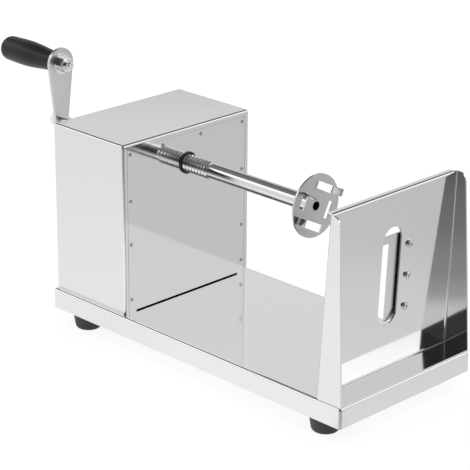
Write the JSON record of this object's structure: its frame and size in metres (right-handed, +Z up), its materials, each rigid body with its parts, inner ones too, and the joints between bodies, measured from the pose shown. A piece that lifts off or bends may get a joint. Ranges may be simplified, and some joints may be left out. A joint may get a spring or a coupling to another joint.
{
  "type": "tornado potato cutter",
  "caption": "Hand cranked spiral potato cutter: folded steel base and housing, threaded feed rod with a pronged disc, crank handle, and an upright slotted plate with a slicing blade.",
  "frame": {"origin": "centre of the whole object's box, on the surface that it stands on", "axes": "+X from the crank to the blade, +Y across towards the blade's screwed side, +Z up"},
  "size_m": [0.5323, 0.17, 0.237],
  "materials": {
    "polished_sheet": "polished sheet",
    "turned_steel": "turned and ground",
    "bright_fasteners": "bright zinc",
    "black_rubber": "matt",
    "nut_brass": "machined",
    "black_nylon": "matt",
    "grip_plastic": "satin"
  },
  "bodies": {
    "frame": {"base_pan": "polished_sheet", "foot_rear_near": "black_rubber", "foot_rear_far": "black_rubber", "foot_front_near": "black_rubber", "foot_front_far": "black_rubber", "foot_screws": "bright_fasteners", "foot_washers": "bright_fasteners", "foot_nuts": "bright_fasteners", "housing_casing": "polished_sheet", "housing_front_panel": "polished_sheet", "housing_rear_panel": "polished_sheet", "front_panel_rivets": "bright_fasteners", "rear_panel_rivets": "bright_fasteners", "housing_screws": "bright_fasteners", "housing_nuts": "bright_fasteners", "rear_stiffener": "turned_steel", "feed_nut": "nut_brass", "feed_nut_screws": "bright_fasteners", "feed_nut_hex_nuts": "bright_fasteners", "guide_bush": "black_nylon", "bush_lock_nut": "bright_fasteners", "blade_upright": "polished_sheet", "slicing_blade": "turned_steel", "blade_spacers": "turned_steel", "blade_screws": "bright_fasteners", "blade_nuts": "bright_fasteners"},
    "travelling_washer": {"hub_washer": "bright_fasteners"},
    "screw_and_crank": {"feed_screw": "turned_steel", "fork_disc": "turned_steel", "crank_arm": "turned_steel", "hub_nut": "bright_fasteners", "grip_bolt": "bright_fasteners", "grip_thrust_washer": "bright_fasteners", "grip_nut_washer": "bright_fasteners", "grip_nut": "bright_fasteners"},
    "hand_grip": {"grip": "grip_plastic"}
  },
  "joints": [
    {"name": "rod_feed", "type": "slide", "parent": "frame", "child": "travelling_washer", "axis": [1, 0, 0], "range_m": [-0.088, 0.058]},
    {"name": "crank_turn", "type": "hinge", "parent": "travelling_washer", "child": "screw_and_crank", "pos_m": [-0.18288, 0, 0.164], "axis": [1, 0, 0], "range_deg": [-7920, 5220]},
    {"name": "grip_spin", "type": "hinge", "parent": "screw_and_crank", "child": "hand_grip", "pos_m": [-0.22088, 0, 0.222], "axis": [1, 0, 0], "continuous": true}
  ],
  "couplings": [
    {"joint": "rod_feed", "follows": "crank_turn", "m_per_rad": 0.00063662}
  ]
}
